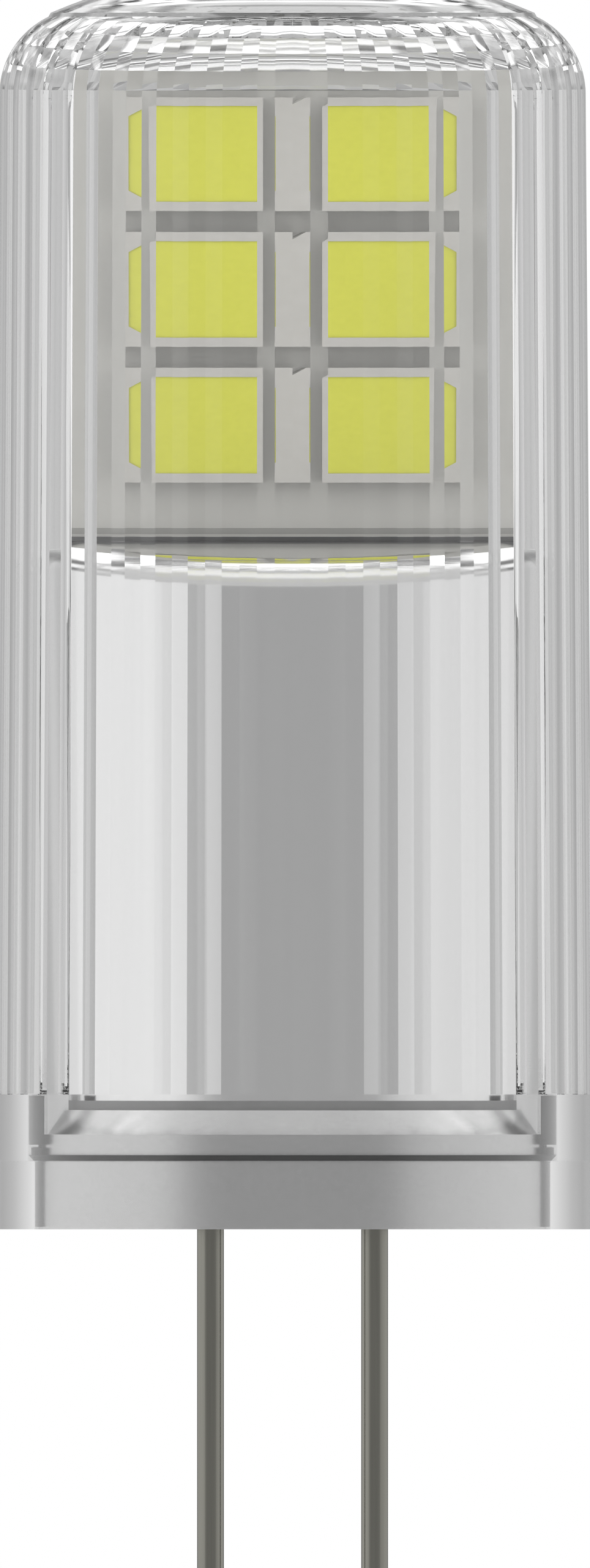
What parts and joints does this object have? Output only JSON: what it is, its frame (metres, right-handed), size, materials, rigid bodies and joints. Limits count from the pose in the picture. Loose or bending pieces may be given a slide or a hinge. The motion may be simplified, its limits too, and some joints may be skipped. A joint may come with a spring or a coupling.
{
  "type": "bi-pin led bulb",
  "caption": "Clear capsule LED bulb: a fluted cover over an upright board of surface-mount LEDs, a bright inner sleeve, a grey base plug and straight wire pins.",
  "frame": {"origin": "centre of the base's flat bottom face, midway between the two pins where they leave it", "axes": "+Z along the bulb towards its dome, pins towards -Z; +X from pin to pin; -Y faces the front LEDs"},
  "size_m": [0.0146, 0.0146, 0.0393],
  "materials": {
    "clear_cover": "clear moulded polycarbonate, polished",
    "grey_plug": "silver-grey moulded plastic, glossy",
    "bright_sleeve": "drawn and polished",
    "pin_wire": "tinned wire",
    "white_board": "white solder mask",
    "led_case": "moulded white resin",
    "phosphor": "yellow phosphor in silicone",
    "black_case": "moulded epoxy",
    "ferrite": "pressed ferrite",
    "capacitor_body": "fired ceramic",
    "resistor_body": "coated ceramic chip",
    "solder": "tin solder",
    "rubber_seal": "moulded silicone rubber, matt",
    "insulating_pad": "punched insulating sheet"
  },
  "bodies": {
    "root": {"base_plug": "grey_plug", "board": "white_board", "capacitor_in": "capacitor_body", "capacitor_out": "capacitor_body", "cover": "clear_cover", "driver_chip": "black_case", "inductor": "ferrite", "led_front_1": "led_case", "led_front_2": "led_case", "led_front_3": "led_case", "led_front_4": "led_case", "led_front_5": "led_case", "led_front_6": "led_case", "led_rear_1": "led_case", "led_rear_2": "led_case", "led_rear_3": "led_case", "led_rear_4": "led_case", "led_rear_5": "led_case", "led_rear_6": "led_case", "pad": "insulating_pad", "phosphor_front_1": "phosphor", "phosphor_front_2": "phosphor", "phosphor_front_3": "phosphor", "phosphor_front_4": "phosphor", "phosphor_front_5": "phosphor", "phosphor_front_6": "phosphor", "phosphor_rear_1": "phosphor", "phosphor_rear_2": "phosphor", "phosphor_rear_3": "phosphor", "phosphor_rear_4": "phosphor", "phosphor_rear_5": "phosphor", "phosphor_rear_6": "phosphor", "pin_left": "pin_wire", "pin_right": "pin_wire", "rectifier": "black_case", "resistor_1": "resistor_body", "resistor_2": "resistor_body", "seal": "rubber_seal", "sleeve": "bright_sleeve", "solder_left": "solder", "solder_right": "solder"}
  },
  "joints": []
}
